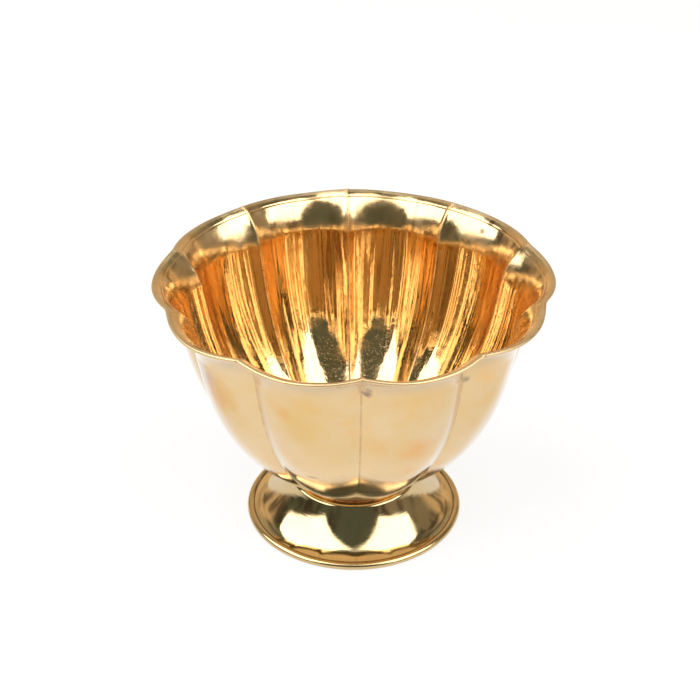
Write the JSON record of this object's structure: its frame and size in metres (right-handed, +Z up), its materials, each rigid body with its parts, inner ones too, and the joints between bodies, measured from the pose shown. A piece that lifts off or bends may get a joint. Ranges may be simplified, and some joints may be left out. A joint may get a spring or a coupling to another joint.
{
  "type": "footed bowl",
  "caption": "Footed brass bowl with a fluted, lobed body, a flared scalloped lip and a spun pedestal foot with a rolled edge.",
  "frame": {"origin": "centre of the flat resting face under the foot's rolled edge", "axes": "+Z up along the bowl's axis; +Y and -Y each pass through a crease between two lobes"},
  "size_m": [0.114, 0.1114, 0.0807],
  "materials": {
    "polished_brass": "polished inside, soft polish with faint handling haze outside",
    "spun_brass": "polished, with fine turning lines round the axis",
    "braze": "dull copper-coloured brazing metal"
  },
  "bodies": {
    "root": {"bowl": "polished_brass", "foot": "spun_brass", "braze_seam": "braze"}
  },
  "joints": []
}
